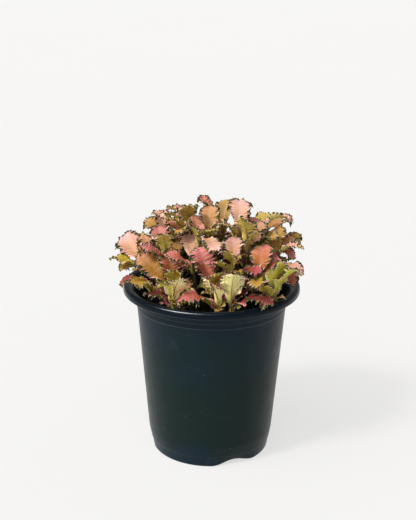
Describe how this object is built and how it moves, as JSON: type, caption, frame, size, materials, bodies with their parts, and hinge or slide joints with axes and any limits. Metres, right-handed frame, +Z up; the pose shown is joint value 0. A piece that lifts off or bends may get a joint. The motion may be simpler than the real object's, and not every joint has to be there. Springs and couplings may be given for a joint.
{
  "type": "potted nerve plant",
  "caption": "Nerve plant with crinkled pink and green leaves on leafy stems, growing from soil in a dark round plastic nursery pot.",
  "frame": {"origin": "centre of the pot's underside, in the plane that it stands on", "axes": "+Z up along the pot's axis; the pictured front faces -Y and +X is to its right"},
  "size_m": [0.1452, 0.1363, 0.1977],
  "materials": {
    "pot": "satin, near-black slate with a blue-green tint",
    "soil": "rough dark peat mix",
    "leaf": "soft sheen, pink above with dark green crinkled edges, yellow-green below"
  },
  "bodies": {
    "root": {"pot": "pot", "shoot_back": "leaf", "shoot_back_inner": "leaf", "shoot_back_left": "leaf", "shoot_back_left_inner": "leaf", "shoot_back_left_middle": "leaf", "shoot_back_middle": "leaf", "shoot_back_right": "leaf", "shoot_back_right_inner": "leaf", "shoot_cup_left": "leaf", "shoot_cup_right": "leaf", "shoot_front_middle": "leaf", "shoot_left_behind": "leaf", "shoot_left_cup": "leaf", "shoot_left_edge": "leaf", "shoot_left_inner": "leaf", "shoot_left_low": "leaf", "shoot_left_mid": "leaf", "shoot_left_top": "leaf", "shoot_mid_high": "leaf", "shoot_mid_left": "leaf", "shoot_mid_right": "leaf", "shoot_right_back": "leaf", "shoot_right_edge": "leaf", "shoot_right_low": "leaf", "shoot_right_mid": "leaf", "shoot_right_shoulder": "leaf", "shoot_right_top": "leaf", "shoot_top": "leaf", "shoot_top_left": "leaf", "shoot_top_right": "leaf", "soil": "soil"}
  },
  "joints": []
}
